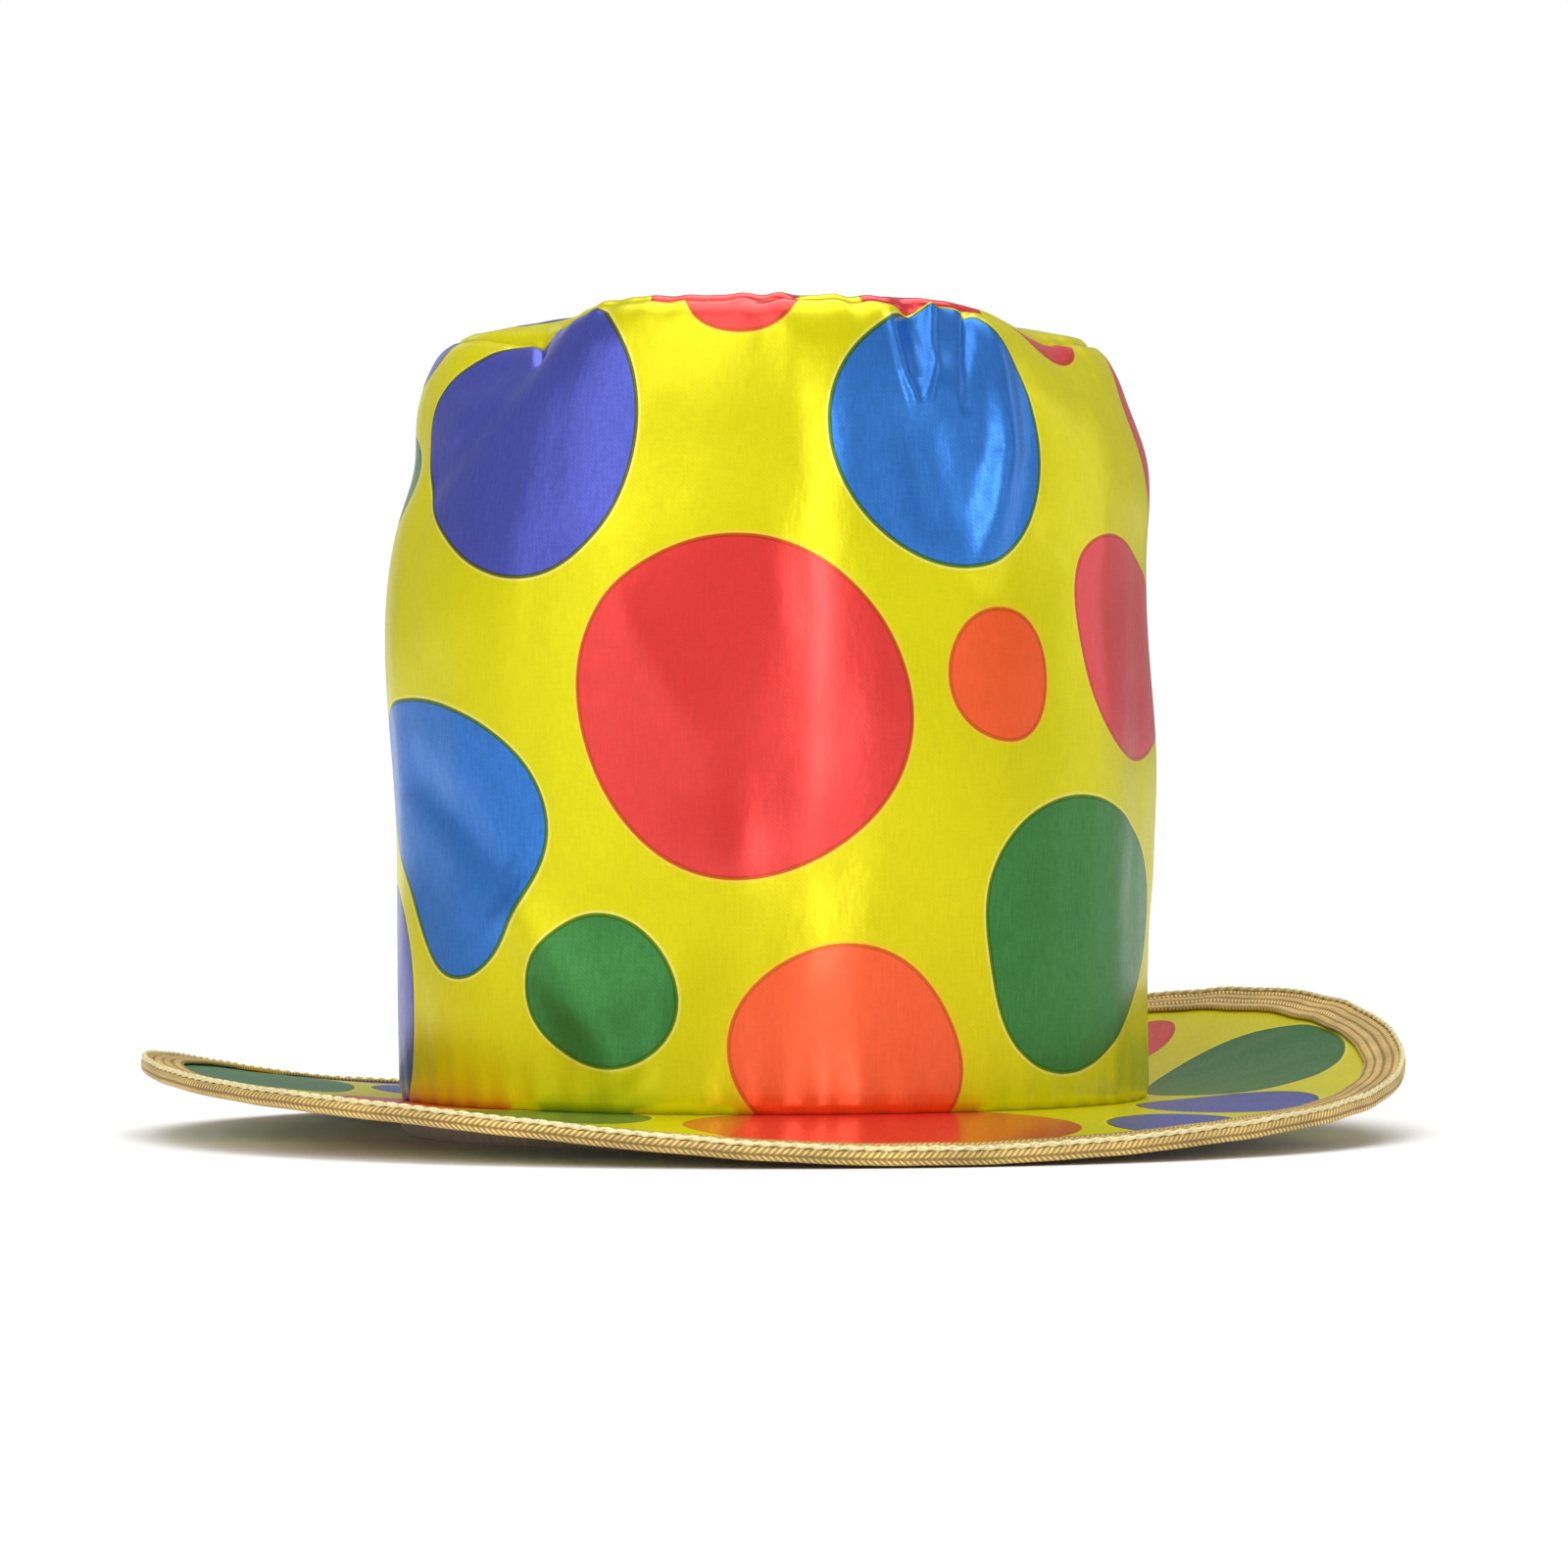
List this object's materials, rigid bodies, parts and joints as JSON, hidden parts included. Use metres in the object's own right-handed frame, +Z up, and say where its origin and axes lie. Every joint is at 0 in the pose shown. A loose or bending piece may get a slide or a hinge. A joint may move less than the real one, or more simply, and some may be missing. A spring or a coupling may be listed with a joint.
{
  "type": "clown hat",
  "caption": "Tall soft clown hat in dotted satin with a dented open crown, a wavy brim bound in gold braid and a rolled band round the head opening.",
  "frame": {"origin": "on the crown's axis, at the floor that the head band stands on", "axes": "+Z up along the crown's axis, the front of the hat toward -Y, +X to the right of someone looking at the front"},
  "size_m": [0.332, 0.332, 0.2151],
  "materials": {
    "crown_satin": "printed polyester satin, soft sheen",
    "tip_satin": "printed polyester satin, soft sheen",
    "brim_satin": "printed satin above, pale reverse below",
    "gold_braid": "ribbed metallic thread braid",
    "band_cloth": "matte rolled tape"
  },
  "bodies": {
    "root": {"crown_side": "crown_satin", "crown_tip": "tip_satin", "brim": "brim_satin", "brim_binding": "gold_braid", "head_band": "band_cloth"}
  },
  "joints": []
}
